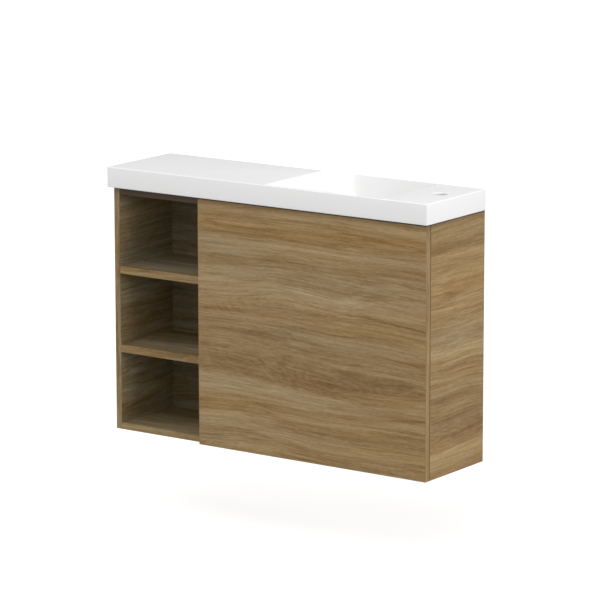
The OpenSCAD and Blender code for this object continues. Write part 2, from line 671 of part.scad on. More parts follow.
basin();
basin_seal();
side_left();
side_right();
divider();
top_board();
bottom_board();
shelf_upper();
shelf_lower();
back_panel();
hanging_rail();
lower_rail();
front_rail();
carcass_edging();
door();
door_edging();
hinge_cups();
hinge_cup_pins();
cup_screws();
hinge_links();
hinge_arms();
hinge_arm_pins();
hinge_plates();
hinge_screws();
push_latch_body();
push_latch_plunger();
strike_plate();
strike_screws();
latch_screws();
cam_housings();
cam_bolts();
dowels();
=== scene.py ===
# Wall-hung vanity unit: looks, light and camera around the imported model
import math
import bpy
from mathutils import Matrix, Vector


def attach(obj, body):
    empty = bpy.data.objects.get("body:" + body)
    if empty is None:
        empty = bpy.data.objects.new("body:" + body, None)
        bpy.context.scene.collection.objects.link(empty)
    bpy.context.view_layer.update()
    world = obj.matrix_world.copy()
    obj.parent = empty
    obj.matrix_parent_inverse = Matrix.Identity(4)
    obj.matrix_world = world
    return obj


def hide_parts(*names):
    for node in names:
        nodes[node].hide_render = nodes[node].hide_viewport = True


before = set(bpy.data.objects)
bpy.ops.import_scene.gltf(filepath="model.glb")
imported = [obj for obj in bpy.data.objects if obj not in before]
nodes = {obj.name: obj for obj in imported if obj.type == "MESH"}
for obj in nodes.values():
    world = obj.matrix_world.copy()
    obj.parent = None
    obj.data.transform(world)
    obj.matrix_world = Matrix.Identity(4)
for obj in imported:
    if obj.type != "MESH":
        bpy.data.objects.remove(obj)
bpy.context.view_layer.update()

print("frame loaded:", len(nodes), "nodes")


# small helpers
def deselectAll():
    for o in bpy.context.selected_objects:
        o.select_set(False)


def makeActive(obj):
    deselectAll()
    obj.select_set(True)
    bpy.context.view_layer.objects.active = obj


def applyModifiers(obj):
    makeActive(obj)
    for m in list(obj.modifiers):
        bpy.ops.object.modifier_apply(modifier=m.name)


def boxPiece(name, low, high):
    deselectAll()
    bpy.ops.mesh.primitive_cube_add(size=1)
    obj = bpy.context.object
    obj.name = obj.data.name = name
    for v in obj.data.vertices:
        v.co = Vector([low[i] if v.co[i] < 0 else high[i] for i in range(3)])
    return obj


def rodPiece(name, centre, radius, height, sides=96, top=None):
    # top is the upper radius where it differs from the lower one
    deselectAll()
    bpy.ops.mesh.primitive_cone_add(vertices=sides, radius1=radius, radius2=radius if top is None else top,
                                    depth=height, location=centre)
    obj = bpy.context.object
    obj.name = obj.data.name = name
    bpy.ops.object.transform_apply(location=True, rotation=True, scale=True)
    return obj


def cut(obj, tool, how="DIFFERENCE"):
    m = obj.modifiers.new(how.lower(), "BOOLEAN")
    m.operation = how
    m.object = tool
    m.solver = "EXACT"
    applyModifiers(obj)
    bpy.data.objects.remove(tool, do_unlink=True)
    return obj


def finish(names, material):
    for name in names:
        nodes[name].data.materials.clear()
        nodes[name].data.materials.append(material)


# material building
graphRules = {
    "seedStep": (1.7, 3.1, 2.3),             # how far apart the patterns of two seeds lie
    "spreadStops": (0.3, 0.7),               # the part of a noise's range that is used
    "faceLimit": 0.5,                        # a normal's part past which a face looks that way
}


class Graph:
    # a short way to wire shader nodes
    def __init__(self, name):
        self.mat = bpy.data.materials.new(name)
        self.mat.use_nodes = True
        self.tree = self.mat.node_tree
        self.shader = self.tree.nodes["Principled BSDF"]
        place = self.tree.nodes.new("ShaderNodeTexCoord")
        self.coords = place.outputs["Object"]
        self.normal = place.outputs["Normal"]

    def link(self, source, socket):
        self.tree.links.new(source, socket)

    def put(self, socket, value):
        if isinstance(value, bpy.types.NodeSocket):
            self.link(value, socket)
        else:
            socket.default_value = value

    def mapping(self, scale=(1, 1, 1), place=(0, 0, 0), turn=(0, 0, 0), source=None):
        n = self.tree.nodes.new("ShaderNodeMapping")
        n.inputs["Scale"].default_value = scale
        n.inputs["Location"].default_value = place
        n.inputs["Rotation"].default_value = turn
        self.link(source or self.coords, n.inputs["Vector"])
        return n.outputs["Vector"]

    def noise(self, vector, detail, rough=0.5, colour=False):
        n = self.tree.nodes.new("ShaderNodeTexNoise")
        self.link(vector, n.inputs["Vector"])
        n.inputs["Scale"].default_value = 1.0
        n.inputs["Detail"].default_value = detail
        n.inputs["Roughness"].default_value = rough
        return n.outputs["Color" if colour else "Fac"]

    def grain(self, look):
        # noise with the look's repeats a metre along each axis
        return self.noise(self.mapping(look["repeats"]), look["detail"], look["rough"])

    def streaks(self, source, repeats, seed, detail, colour=False):
        # noise with this many repeats a metre along and across x, and its own place for each seed
        along, across = repeats
        place = tuple(step * seed for step in graphRules["seedStep"])
        return self.noise(self.mapping((along, across, across), place, source=source), detail, colour=colour)

    def math(self, how, a, b=0.0):
        n = self.tree.nodes.new("ShaderNodeMath")
        n.operation = how
        for socket, value in zip(n.inputs, (a, b)):
            self.put(socket, value)
        return n.outputs[0]

    def vmath(self, how, a, b):
        n = self.tree.nodes.new("ShaderNodeVectorMath")
        n.operation = how
        self.put(n.inputs[0], a)
        self.put(n.inputs[1], b)
        return n.outputs[0]

    def part(self, vector, axis):
        n = self.tree.nodes.new("ShaderNodeSeparateXYZ")
        self.link(vector, n.inputs[0])
        return n.outputs[axis]

    def looksAlong(self, axis):
        # 1 where a face looks along the axis
        return self.math("GREATER_THAN", self.part(self.normal, axis), graphRules["faceLimit"])

    def looksAside(self, axis):
        # 1 where it looks neither along the axis nor against it
        size = self.math("ABSOLUTE", self.part(self.normal, axis))
        return self.math("LESS_THAN", size, graphRules["faceLimit"])

    def ramp(self, value, stops):
        n = self.tree.nodes.new("ShaderNodeValToRGB")
        self.link(value, n.inputs["Fac"])
        e = n.color_ramp.elements
        while len(e) < len(stops):
            e.new(0.5)
        for item, (pos, col) in zip(e, stops):
            item.position = pos
            item.color = (col, col, col, 1) if isinstance(col, (int, float)) else (*col, 1)
        return n.outputs["Color"]

    def fade(self, value, stops, low, high):
        # from low at the first stop to high at the second
        return self.ramp(value, list(zip(stops, (low, high))))

    def spread(self, value, low, high):
        return self.fade(value, graphRules["spreadStops"], low, high)

    def mix(self, fac, a, b, how="MIX"):
        n = self.tree.nodes.new("ShaderNodeMix")
        n.data_type = "RGBA"
        n.blend_type = how
        self.put(n.inputs["Factor"], fac)
        for socket, value in (("A", a), ("B", b)):
            self.put([i for i in n.inputs if i.name == socket and i.type == "RGBA"][0],
                     (*value, 1) if isinstance(value, tuple) else value)
        return [o for o in n.outputs if o.type == "RGBA"][0]

    def tinted(self, fac, base, tint):
        return self.mix(fac, base, tint, "MULTIPLY")

    def bump(self, height, strength, distance):
        n = self.tree.nodes.new("ShaderNodeBump")
        n.inputs["Strength"].default_value = strength
        n.inputs["Distance"].default_value = distance
        self.link(height, n.inputs["Height"])
        self.link(n.outputs["Normal"], self.shader.inputs["Normal"])

    def colour(self, source):
        self.link(source, self.shader.inputs["Base Color"])

    def roughness(self, source, low, high):
        self.link(self.spread(source, low, high), self.shader.inputs["Roughness"])

    def gloss(self, level):
        self.shader.inputs["Specular IOR Level"].default_value = level


def linear(r, g, b):
    # 0-255 display values to the shader's linear ones
    return tuple(((c / 255 / 12.92) if c <= 10 else ((c / 255 + 0.055) / 1.055) ** 2.4) for c in (r, g, b))


# raw faces of the boards
chip = {
    "light": linear(205, 180, 138),
    "dark": linear(150, 120, 82),
    "stops": (0.35, 0.62),
    "repeats": (420.0, 420.0, 420.0),
    "detail": 2.0,
    "rough": 0.7,
}
fibreboard = {
    "light": linear(128, 101, 62),
    "dark": linear(104, 80, 47),
    "stops": (0.3, 0.7),
    "repeats": (840.0, 840.0, 840.0),
    "detail": 4.0,
    "rough": 0.7,
}


def rawBoard(g, look):
    return g.fade(g.grain(look), look["stops"], look["dark"], look["light"])


# painted shadow: a soft dark line on the boards' top 15 mm, close under the basin's overhang
paintedContactShadow = {
    "heights": (0.028, 0.043),
    "tone": (0.64, 0.62, 0.58),
}


def paintContactShadow(g, base):
    high = g.fade(g.part(g.coords, "Z"), paintedContactShadow["heights"], 0, 1)
    return g.mix(high, base, g.tinted(1.0, base, paintedContactShadow["tone"]))


# wood-look laminate
wood = {
    "tones": (
        (0.0, linear(94, 63, 24)),
        (0.25, linear(117, 89, 46)),
        (0.5, linear(138, 112, 72)),
        (0.75, linear(155, 132, 94)),
        (1.0, linear(173, 152, 117)),
    ),
    "inside": (0.86, 1.03, 1.43),            # painted shade in the niches: the same laminate tinted greyer inside
    # painted shade on the back panel's inner face: darker and greyer
    "backPaintedShade": (0.60, 0.71, 0.97),
    # painted shade on the right side: a little darker and warmer than the door
    "paintedSideShade": (0.94, 0.92, 0.84),
    "gloss": 0.3,
    "warm": (1.05, 1.0, 0.89),
    "cool": (0.95, 1.0, 1.11),
    # each layer's repeats a metre along and across the grain, and how strongly it shows
    "layers": (
        (0.5, 9.0, 0.26),
        (0.4, 18.0, 0.38),
        (0.7, 36.0, 0.38),
        (1.3, 74.0, 0.36),
        (3.0, 155.0, 0.42),
        (8.0, 330.0, 0.48),
        (70.0, 420.0, 0.34),
    ),
    "layerDetail": 0.4,
    # each field's repeats a metre along and across the grain, its seed and its detail
    "fields": {
        "bend": (1.9, 4.5, 7, 1.0),
        "figure": (1.5, 12.0, 8, 1.0),
        "ripple": (18.0, 45.0, 9, 1.0),
        "rings": (1.9, 9.0, 10, 1.0),
        "lines": (1.1, 22.0, 11, 0.6),
        "gaps": (3.5, 30.0, 12, 0.0),
        "hue": (1.0, 16.0, 13, 2.0),
        "fibre": (14.0, 420.0, 14, 3.0),
    },
    "middle": 0.5,                           # where a noise has its average
    "bend": 0.070,                           # how far the growth lines wander
    "figureStops": (0.50, 0.68),             # growth lines fade in between these
    "ripple": 0.010,                         # the flame figure in those places
    "rings": 36.0,                           # growth lines over the whole range of the field
    "ringDepth": 0.13,
    "lineWidth": 0.014,                      # thin dark lines
    "lineDepth": 0.26,
    "gapStops": (0.5, 0.66),                 # the lines fade in between these
    "roughness": (0.45, 0.58),
    "bump": (0.12, 0.0004),
}
grainTurn = {"X": (0, 0, 0), "Y": (0, 0, -math.pi / 2), "Z": (0, math.pi / 2, 0)}


def field(g, q, name, colour=False):
    along, across, seed, detail = wood["fields"][name]
    return g.streaks(q, (along, across), seed, detail, colour)


def wander(g, name, source):
    # a sideways shift of the pattern that leaves its place along the grain alone
    size = wood[name]
    shift = g.vmath("SUBTRACT", field(g, source, name, colour=True), (wood["middle"],) * 3)
    return g.vmath("MULTIPLY", shift, (0.0, size, size))


def woodGrain(g, p):
    # the colour and the fibres at p, whose x runs along the grain
    q = g.vmath("ADD", p, wander(g, "bend", p))
    figure = g.fade(field(g, q, "figure"), wood["figureStops"], 0, 1)
    q = g.vmath("ADD", q, g.vmath("MULTIPLY", wander(g, "ripple", q), figure))
    total = wood["middle"]
    for seed, (lengthwise, across, weight) in enumerate(wood["layers"]):
        layer = g.streaks(q, (lengthwise, across), seed, wood["layerDetail"])
        total = g.math("ADD", total, g.math("MULTIPLY", g.math("SUBTRACT", layer, wood["middle"]), weight))
    rings = g.math("FRACT", g.math("MULTIPLY", field(g, q, "rings"), wood["rings"]))
    shownRings = g.math("MULTIPLY", g.math("MULTIPLY", rings, figure), wood["ringDepth"])
    total = g.math("SUBTRACT", total, shownRings)
    ridge = g.math("ABSOLUTE", g.math("SUBTRACT", field(g, q, "lines"), wood["middle"]))
    drawn = g.fade(field(g, q, "gaps"), wood["gapStops"], 0, 1)
    thin = g.math("MULTIPLY", g.fade(ridge, (0.0, wood["lineWidth"]), 1, 0), drawn)
    total = g.math("SUBTRACT", total, g.math("MULTIPLY", thin, wood["lineDepth"]))
    hue = g.spread(field(g, q, "hue"), 0, 1)
    base = g.tinted(1.0, g.ramp(total, wood["tones"]), g.mix(hue, wood["warm"], wood["cool"]))
    return base, field(g, q, "fibre")


def laminate(name, along, face, shift=(0, 0, 0), tint=(1.0, 1.0, 1.0), oneFace=False, backRaw=False):
    # along is the axis that the grain runs on, and face the axis that the laminated faces look along;
    # tint is painted shade, which oneFace puts only on the face that looks along it, and backRaw leaves that
    # face bare
    g = Graph(name)
    g.gloss(wood["gloss"])
    base, fibre = woodGrain(g, g.mapping(turn=grainTurn[along], place=shift))
    # painted shadow along the board's top, under the basin
    base = paintContactShadow(g, g.tinted(g.looksAlong(face) if oneFace else 1.0, base, tint))
    base = g.mix(g.looksAside(face), base, rawBoard(g, chip))
    if backRaw:
        base = g.mix(g.looksAlong(face), base, rawBoard(g, fibreboard))
    g.colour(base)
    g.roughness(fibre, *wood["roughness"])
    g.bump(fibre, *wood["bump"])
    return g.mat


finish(["door"], laminate("laminateDoor", "X", "Y"))
# the niches' inner faces and the back panel get painted shade through their tints
finish(["side_left"], laminate("laminateLeftSide", "Y", "X", (0.7, 0.3, 0.5), wood["inside"], oneFace=True))
# the right side gets painted shade through its tint
finish(["side_right"], laminate("laminateRightSide", "Y", "X", (0.4, 0.2, 0.1), wood["paintedSideShade"]))
finish(["divider"], laminate("laminateDivider", "Y", "X", (0.1, 0.6, 0.3), wood["inside"]))
finish(["top_board", "shelf_upper", "shelf_lower"],
       laminate("laminateShelves", "X", "Z", tint=wood["inside"]))
finish(["bottom_board"], laminate("laminateBottom", "X", "Z", tint=wood["inside"], oneFace=True))
finish(["hanging_rail", "lower_rail", "front_rail"], laminate("laminateRails", "X", "Y"))
finish(["back_panel"], laminate("laminateBack", "X", "Y", (0.2, 0.4, 0.8), wood["backPaintedShade"], backRaw=True))
print("laminate on the boards")


# glued edge bands
band = {
    "cabinetTint": (0.85, 0.87, 0.87),       # beside the laminate
    "doorTint": (0.93, 0.93, 0.92),
    "roughness": (0.44, 0.54),
    "bump": (0.08, 0.0003),
    "gloss": 0.3,
    "uprights": (-0.448, -0.183, 0.449),     # middles of the upright boards' front edges
    "halfBoard": 0.0081,
    "shadeFrom": 0.028,                      # over this height the band gets a painted shadow, for the basin's shade
    "shadeEnds": (-0.440, -0.191),
    "shade": (0.21, 0.16, 0.01),             # what is left of its colour under the painted shadow
}


def bandFinish(name, upright, tint, withPaintedShadow=False):
    # upright gives 1 where a band runs up and down, and 0 where it runs along the wall
    g = Graph(name)
    g.gloss(band["gloss"])
    lying, standing = (g.mapping(turn=grainTurn[axis]) for axis in ("X", "Z"))
    base, fibre = woodGrain(g, g.mix(upright(g), lying, standing))
    # painted shadow along the band's top, under the basin
    base = paintContactShadow(g, g.tinted(1.0, base, tint))
    # painted shadow on the top board's band, under the basin
    if withPaintedShadow:
        left, right = band["shadeEnds"]
        x = g.part(g.coords, "X")
        ends = g.math("MULTIPLY", g.math("GREATER_THAN", x, left), g.math("LESS_THAN", x, right))
        high = g.math("GREATER_THAN", g.part(g.coords, "Z"), band["shadeFrom"])
        base = g.mix(g.math("MULTIPLY", ends, high), base, g.tinted(1.0, base, band["shade"]))
    g.colour(base)
    g.roughness(fibre, *band["roughness"])
    g.bump(fibre, *band["bump"])
    return g.mat


def onUprights(g):
    x = g.part(g.coords, "X")
    near = [g.math("LESS_THAN", g.math("ABSOLUTE", g.math("SUBTRACT", x, middle)), band["halfBoard"])
            for middle in band["uprights"]]
    return g.math("MAXIMUM", near[0], g.math("MAXIMUM", near[1], near[2]))


def onDoorEnds(g):
    return g.looksAside("Z")


finish(["carcass_edging"], bandFinish("cabinetEdgeBand", onUprights, band["cabinetTint"], withPaintedShadow=True))
finish(["door_edging"], bandFinish("doorEdgeBand", onDoorEnds, band["doorTint"]))
print("edge bands done")


# metal fittings
metals = {
    "nickelPlate": {
        "nodes": ["hinge_cups", "hinge_links", "hinge_arms", "hinge_plates"],
        "tone": (0.66, 0.65, 0.62),
        "roughness": (0.22, 0.36),
        "repeats": (60, 60, 700),            # a metre along each axis, so its lines lie flat
        "dents": 0.05,
    },
    "turnedSteel": {
        "nodes": ["hinge_cup_pins", "hinge_arm_pins"],
        "tone": (0.42, 0.42, 0.42),
        "roughness": (0.28, 0.42),
        "repeats": (90, 90, 1200),
        "dents": 0.05,
    },
    "zincPlatedScrew": {
        "nodes": ["cup_screws", "hinge_screws", "strike_screws", "latch_screws", "cam_bolts"],
        "tone": (0.58, 0.57, 0.54),
        "roughness": (0.30, 0.44),
        "repeats": (500, 500, 500),
        "dents": 0.05,
    },
    "rolledSteel": {
        "nodes": ["strike_plate"],
        "tone": (0.58, 0.57, 0.54),
        "roughness": (0.26, 0.40),
        "repeats": (700, 700, 60),
        "dents": 0.05,
    },
    "castZinc": {
        "nodes": ["cam_housings"],
        "tone": (0.50, 0.51, 0.52),
        "roughness": (0.40, 0.54),
        "repeats": (420, 420, 420),
        "dents": 0.16,
    },
}
metalSmear = {
    "detail": 4.0,
    "rough": 0.6,
    "darkShare": 0.86,                       # the darker places' share of the tone
    "depth": 0.0002,
}


def darker(tone, share):
    return tuple(c * share for c in tone)


def metal(name, look):
    g = Graph(name)
    g.shader.inputs["Metallic"].default_value = 1.0
    smear = g.noise(g.mapping(look["repeats"]), metalSmear["detail"], metalSmear["rough"])
    g.colour(g.spread(smear, darker(look["tone"], metalSmear["darkShare"]), look["tone"]))
    g.roughness(smear, *look["roughness"])
    g.bump(smear, look["dents"], metalSmear["depth"])
    return g.mat


for name, look in metals.items():
    finish(look["nodes"], metal(name, look))


# plastic parts of the push latch
plastics = {
    "latchPlastic": {
        "nodes": ["push_latch_body"],
        "tone": linear(188, 188, 184),
        "roughness": (0.38, 0.48),
    },
    "plungerPlastic": {
        "nodes": ["push_latch_plunger"],
        "tone": linear(226, 226, 222),
        "roughness": (0.34, 0.44),
    },
}
mouldGrain = {
    "repeats": (900, 900, 900),
    "detail": 2.0,
    "rough": 0.6,
    "bump": (0.10, 0.0002),
}
mouldCloud = {
    "repeats": (40, 40, 40),
    "detail": 2.0,
    "rough": 0.5,
    "darkShare": 0.93,
}


def mouldedPlastic(name, look):
    g = Graph(name)
    grain = g.grain(mouldGrain)
    g.colour(g.spread(g.grain(mouldCloud), darker(look["tone"], mouldCloud["darkShare"]), look["tone"]))
    g.roughness(grain, *look["roughness"])
    g.bump(grain, *mouldGrain["bump"])
    return g.mat


for name, look in plastics.items():
    finish(look["nodes"], mouldedPlastic(name, look))


# beech dowels and the foam seal
beech = {
    "light": linear(214, 180, 132),
    "dark": linear(178, 140, 92),
    "stops": (0.35, 0.65),
    "repeats": (30.0, 700.0, 700.0),
    "detail": 4.0,
    "rough": 0.65,
    "roughness": (0.62, 0.74),
    "bump": (0.2, 0.0004),
}
foam = {
    "light": linear(44, 42, 39),
    "dark": linear(24, 23, 22),
    "stops": (0.38, 0.6),
    "repeats": (1300, 1300, 1300),
    "detail": 3.0,
    "rough": 0.65,
    "roughness": (0.82, 0.94),
    "bump": (0.35, 0.0004),
}


def twoTone(name, look):
    # one fine noise gives the colour, the roughness and the relief
    g = Graph(name)
    grain = g.grain(look)
    g.colour(g.fade(grain, look["stops"], look["dark"], look["light"]))
    g.roughness(grain, *look["roughness"])
    g.bump(grain, *look["bump"])
    return g.mat


finish(["dowels"], twoTone("beechDowel", beech))
finish(["basin_seal"], twoTone("darkFoam", foam))
print("fittings done")


# the cast basin
basin = {
    "low": (-0.46, -0.25, 0.0475),
    "high": (0.46, 0.0, 0.0975),
    "bowlLen": 0.337,
    "halfWidth": 0.118,
    "middle": -0.125,
    "corner": 0.015,
    "slope": 17.0,                           # fall of the ramp
    "sidePower": 6.0,                        # how steep the ramp's sides are
    "panStart": 0.088,                       # where the pan begins
    "panRun": 0.060,                         # length of the pan's left end
    "rampPast": 0.010,                       # the ramp goes on falling this far into the pan
    "depth": 0.062,                          # how deep the pan is
    "endPower": 3.0,                         # how steep the pan's left end is
    "frontPower": 3.0,                       # the pan's front wall slopes more than its back wall
    "backPower": 15.0,
    "blend": 0.005,                          # roundness where the pan leaves the ramp
    "creaseLap": 0.002,                      # the cutter goes past the crease by this
    "bulgeLow": (-0.001, -0.211, 0.0145),    # the bowl's casing under the cast body
    "bulgeHigh": (0.445, -0.013),
    "bulgeLap": 0.001,
    "topThick": 0.014,
    "roomLow": (-0.446, -0.214),             # what is cleared under the flat parts
    "roomHigh": (0.446, -0.014),
    "roomLap": 0.0005,
    "lowRoomLow": (-0.003, -0.2125, 0.0125),  # what is cleared in the bowl's casing
    "lowRoomHigh": (0.447, -0.011),
    "lowRoomLap": 0.0003,
    "shellGrow": 0.006,
    "shellThick": 0.012,
    "shellClear": 0.0005,
    "rimRound": 0.0022,
    "rimSlope": 0.15,                        # the rim's rounding grows out of the crease this fast
    "edgeRound": 0.0021,
    "waste": (0.215, -0.125, 0.0325),
    "wasteHole": 0.0225,
    "wasteSeat": 0.034,
    "bossGrow": 0.001,
    "bossHeight": 0.014,
    "bossSink": 0.005,                       # the boss's middle lies this far under the seat
    "seatHeight": 0.006,
    "drainHeight": 0.04,
    "tap": (0.41, -0.116),
    "tapHole": 0.0175,
    "tapBoreHeight": 0.02,
    "tapBoreSink": 0.008,
    "tapEdgeHeight": 0.0024,                 # a cone takes the sharp edge off the tap hole
    "tapEdgeSink": 0.0002,                   # its middle lies this far under the top
    "tapEdgeLess": 0.0002,                   # it begins inside the hole's wall and ends outside it
    "tapEdgeMore": 0.0022,
    "smoothAngle": 27,
    "edgeSteps": 4,                          # round the body's edges
    "rimSteps": 5,                           # round the bowl's rim
    "rows": 36,                              # from the rim in to the bowl's middle
    "sides": (84, 12, 20),                   # on each long side, corner and end
    "shellRows": 20,
    "shellSides": (40, 5, 8),
    "lift": 0.00003,                         # keeps the cutter's rim off the top face
    "merge": 0.00002,                        # points nearer than this become one
    "tiny": 0.00001,                         # keeps the blend from dividing by nothing
    "rise": 0.05,                            # the underside is drawn up by this, then laid flat
    "cutterRoof": 0.02,                      # how far over the top each tool ends
    "shellRoof": 0.01,
}


def softMax(a, b):
    # the larger of two, with the corner between them rounded
    k = min(basin["blend"], max(a, b)) + basin["tiny"]
    return max(a, b) + max(k - abs(a - b), 0.0) ** 2 / (4 * k)


def between(value):
    return min(max(value, 0.0), 1.0)


def wall(t, power):
    # goes from 0 at the rim to 1 over the bowl's middle
    return 1 - (1 - between(t / basin["halfWidth"])) ** power


def powerAt(y):
    # the front wall's power at the front, the back wall's at the back, and a soft change between
    s = between((y + basin["halfWidth"]) / (2 * basin["halfWidth"]))
    return basin["frontPower"] + (basin["backPower"] - basin["frontPower"]) * s * s * (3 - 2 * s)


def bowlDepth(x, y, t, grow=0.0):
    # depth below the top at x and y, t in from the rim
    ramp = math.tan(math.radians(basin["slope"])) * min(x, basin["panStart"] + basin["rampPast"])
    if x < 0:
        return ramp
    end = 1 - (1 - between((x + grow - basin["panStart"]) / basin["panRun"])) ** basin["endPower"]
    return softMax(ramp * wall(t, basin["sidePower"]), basin["depth"] * end * wall(t, powerAt(y)))


def bowlPath(t, u):
    # a point on the bowl's outline drawn in by t, u going from the front of the crease round to its back
    length = basin["bowlLen"] - t
    half = basin["halfWidth"] - t
    r = max(basin["corner"] - t, 0.0)
    start = -basin["creaseLap"]
    if u < 1:
        return start + (length - r - start) * u, -half
    if u < 2:
        a = (u - 1) * math.pi / 2
        return length - r + r * math.sin(a), -half + r - r * math.cos(a)
    if u < 3:
        return length, (-half + r) + (half - r) * 2 * (u - 2)
    if u < 4:
        a = (u - 3) * math.pi / 2
        return length - r + r * math.cos(a), half - r + r * math.sin(a)
    return length - r + (start - length + r) * (u - 4), half


def bowlTool(name, sides, rows, depthAt, roof):
    # a closed body under roof whose underside has the depth that depthAt gives
    deselectAll()
    bpy.ops.mesh.primitive_grid_add(x_subdivisions=len(sides) - 1, y_subdivisions=len(rows) - 1, size=1)
    obj = bpy.context.object
    obj.name = obj.data.name = name
    for k, v in enumerate(obj.data.vertices):
        t = rows[k // len(sides)]
        x, y = bowlPath(t, sides[k % len(sides)])
        v.co = (x, basin["middle"] + y, basin["high"][2] - depthAt(x, y, t))
    bpy.ops.object.mode_set(mode="EDIT")
    bpy.ops.mesh.select_all(action="SELECT")
    bpy.ops.mesh.remove_doubles(threshold=basin["merge"])
    bpy.ops.mesh.extrude_region_move(TRANSFORM_OT_translate={"value": (0, 0, basin["rise"])})
    bpy.ops.transform.resize(value=(1, 1, 0), center_override=(0, 0, roof))
    bpy.ops.mesh.select_all(action="SELECT")
    bpy.ops.mesh.normals_make_consistent(inside=False)
    bpy.ops.object.mode_set(mode="OBJECT")
    return obj


def pathSides(long, corner, end):
    # parameters round the path, with this many steps on each long side, corner and end
    steps = (long, corner, end, corner, long)
    return [i + k / n for i, n in enumerate(steps) for k in range(n)] + [len(steps)]


def bowlCutter():
    r = basin["rimRound"]
    rows = [-r * math.cos(math.pi / 2 * k / basin["rimSteps"]) for k in range(basin["rimSteps"])]
    rows += [basin["halfWidth"] * (k / basin["rows"]) ** 2 for k in range(basin["rows"] + 1)]

    def depthAt(x, y, t):
        if x < 0:
            return bowlDepth(x, y, t)
        edge = min(r, x * basin["rimSlope"])
        if t < 0:
            s = t / r
            return edge * (1 - math.sqrt(max(1 - (s + 1) ** 2, 0.0))) - basin["lift"]
        return edge + bowlDepth(x, y, t)

    roof = basin["high"][2] + basin["cutterRoof"]
    return bowlTool("bowlCutter", pathSides(*basin["sides"]), rows, depthAt, roof)


def shellTool():
    # the outside of the bowl's shell, kept when the room under the basin is cleared
    grow = basin["shellGrow"]
    thick = basin["shellThick"]
    rows = [-grow + (basin["halfWidth"] + grow) * (k / basin["shellRows"]) ** 2
            for k in range(basin["shellRows"] + 1)]

    def depthAt(x, y, t):
        casing = thick * wall(t + grow, powerAt(y))
        return bowlDepth(max(x, 0), y, t + grow, grow) + casing + basin["shellClear"]

    roof = basin["high"][2] + basin["shellRoof"]
    return bowlTool("shell", pathSides(*basin["shellSides"]), rows, depthAt, roof)


def roundEdges(obj, radius, segments):
    makeActive(obj)
    bpy.ops.object.mode_set(mode="EDIT")
    bpy.ops.mesh.select_all(action="SELECT")
    bpy.ops.mesh.bevel(offset=radius, segments=segments, profile=0.5, affect="EDGES")
    bpy.ops.object.mode_set(mode="OBJECT")


def castBody():
    # the block with the bowl's casing under it
    obj = boxPiece("cast_basin", basin["low"], basin["high"])
    roundEdges(obj, basin["edgeRound"], basin["edgeSteps"])
    bulgeTop = (*basin["bulgeHigh"], basin["low"][2] + basin["bulgeLap"])
    return cut(obj, boxPiece("bulge", basin["bulgeLow"], bulgeTop), "UNION")


def clearedRoom():
    # the hollow under the basin, without the bowl's shell and the waste's boss
    under = basin["low"][2]
    ceiling = basin["high"][2] - basin["topThick"]
    obj = boxPiece("room", (*basin["roomLow"], under - basin["roomLap"]), (*basin["roomHigh"], ceiling))
    lowTop = (*basin["lowRoomHigh"], under - basin["lowRoomLap"])
    cut(obj, boxPiece("lowRoom", basin["lowRoomLow"], lowTop), "UNION")
    cut(obj, shellTool())
    x, y, z = basin["waste"]
    boss = rodPiece("boss", (x, y, z - basin["bossSink"]), basin["wasteSeat"] + basin["bossGrow"],
                    basin["bossHeight"])
    return cut(obj, boss)


def cutWaste(obj):
    x, y, z = basin["waste"]
    height = basin["seatHeight"]
    cut(obj, rodPiece("seat", (x, y, z + height / 2), basin["wasteSeat"], height))
    cut(obj, rodPiece("drain", (x, y, z), basin["wasteHole"], basin["drainHeight"]))


def cutTapHole(obj):
    x, y = basin["tap"]
    bore = basin["tapHole"]
    top = basin["high"][2]
    cut(obj, rodPiece("tapBore", (x, y, top - basin["tapBoreSink"]), bore, basin["tapBoreHeight"]))
    cut(obj, rodPiece("tapEdge", (x, y, top - basin["tapEdgeSink"]), bore - basin["tapEdgeLess"],
                      basin["tapEdgeHeight"], top=bore + basin["tapEdgeMore"]))


def makeBasin():
    obj = castBody()
    cut(obj, clearedRoom())
    cut(obj, bowlCutter())
    cutWaste(obj)
    cutTapHole(obj)
    bpy.ops.object.shade_smooth_by_angle(angle=math.radians(basin["smoothAngle"]))
    return obj


castBasin = makeBasin()
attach(castBasin, "cabinet")
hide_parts("basin")
print("basin made:", len(castBasin.data.polygons), "faces")


# cast basin finish
castLook = {
    "white": (0.808, 0.808, 0.806),
    "whiteLow": (0.797, 0.797, 0.794),
    "gloss": 0.1,
    "core": linear(196, 195, 190),           # the bare casting underneath
    "coreFacing": -0.5,                      # it shows where a face looks down more than this
    "paintedLightWhite": (0.945, 0.945, 0.942),      # painted light: the bowl is lighter than the top, but for its back wall
    # painted shade on the bowl's back wall, darker to the right
    "paintedShadeBackLeft": (0.82, 0.82, 0.818),
    "paintedShadeBackRight": (0.745, 0.745, 0.743),
    # painted light: the deck a little lighter than the rest of the top
    "paintedDeckLight": (0.85, 0.85, 0.847),
    "deckFacing": 0.9,                       # the deck is what looks up at least this much
    "bowlFrom": 0.0003,                      # how far under the top it begins
    "backWallFrom": 0.096,
    "backWallStops": (0.2, 0.6),             # how far a face looks to the front on the back wall
    "edgeDepth": 0.0024,                     # the rounded top edges get painted highlights in the same lighter white
    "edgeStops": (0.01, 0.06),               # how far their faces tilt
    "cloud": {
        "repeats": (9, 9, 9),
        "detail": 3.0,
        "rough": 0.5,
    },
    "speck": {
        "repeats": (260, 260, 260),
        "detail": 2.0,
        "rough": 0.5,
    },
    "roughness": (0.52, 0.58),
    "bump": (0.02, 0.0002),
}


